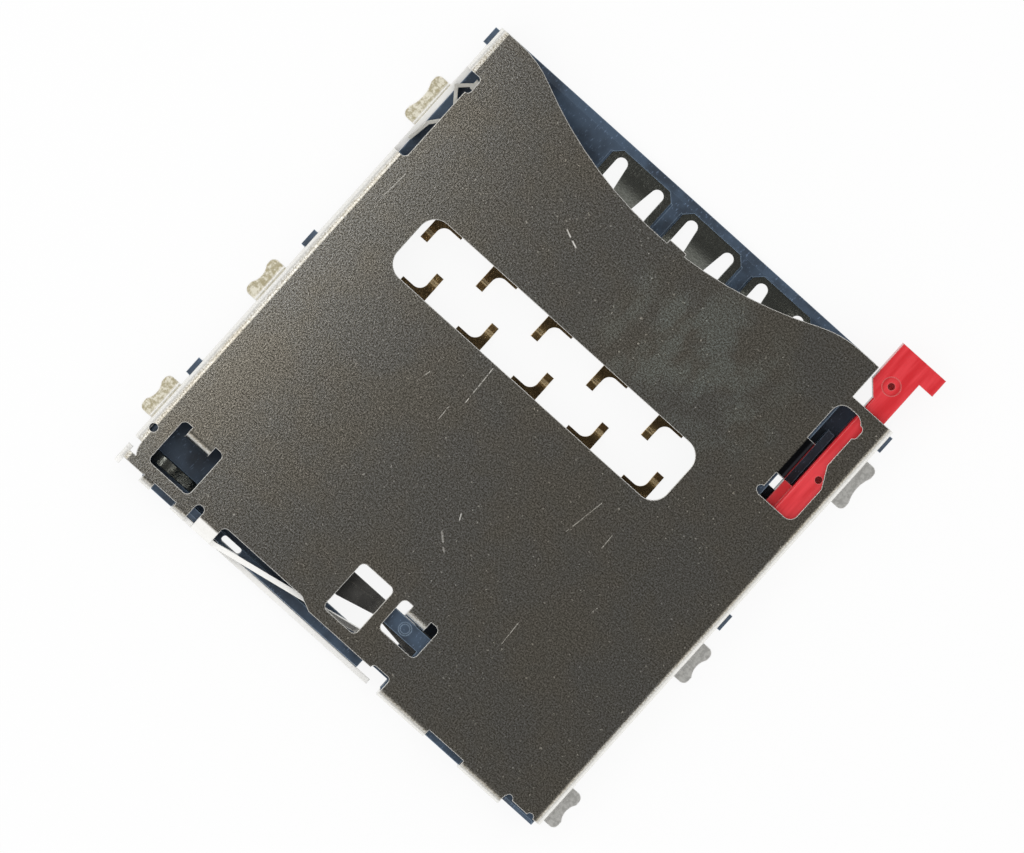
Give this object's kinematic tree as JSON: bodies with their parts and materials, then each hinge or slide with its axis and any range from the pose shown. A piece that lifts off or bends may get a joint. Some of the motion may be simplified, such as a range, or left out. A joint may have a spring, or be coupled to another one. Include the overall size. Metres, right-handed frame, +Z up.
{
  "type": "sim card socket",
  "caption": "Low board-mounted SIM card tray socket with a folded steel cover, sprung contacts in a dark moulded base and a red push-rod ejector.",
  "frame": {"origin": "on the board, under the middle of the cover", "axes": "+Z up from the board, +Y the way the tray goes in, +X across, with the push rod on the -X side"},
  "size_m": [0.016, 0.0165, 0.0015],
  "materials": {
    "moulding": "matte dark blue-black moulding",
    "cover_steel": "satin rolled sheet with fine grain and light scratches",
    "contact_bronze": "plated spring bronze",
    "red_plastic": "glossy red moulding",
    "lever_steel": "plain stamped steel"
  },
  "bodies": {
    "socket": {"housing": "moulding", "cover": "cover_steel", "front_contact_1": "contact_bronze", "front_contact_2": "contact_bronze", "front_contact_3": "contact_bronze", "rear_contact_1": "contact_bronze", "rear_contact_2": "contact_bronze", "rear_contact_3": "contact_bronze", "side_switch_spring": "contact_bronze", "end_switch_leaf": "contact_bronze"},
    "ejector_rod": {"push_rod": "red_plastic"},
    "ejector_lever": {"eject_lever": "lever_steel"}
  },
  "joints": [
    {"name": "rod_slide", "type": "slide", "parent": "socket", "child": "ejector_rod", "axis": [0, 1, 0], "range_m": [0, 0.0014]},
    {"name": "lever_swing", "type": "hinge", "parent": "socket", "child": "ejector_lever", "pos_m": [-0.0036, 0.00618, 0.00067], "axis": [0, 0, -1], "range_deg": [0, 24.5]}
  ],
  "couplings": [
    {"joint": "lever_swing", "follows": "rod_slide", "rad_per_m": 305.35}
  ]
}
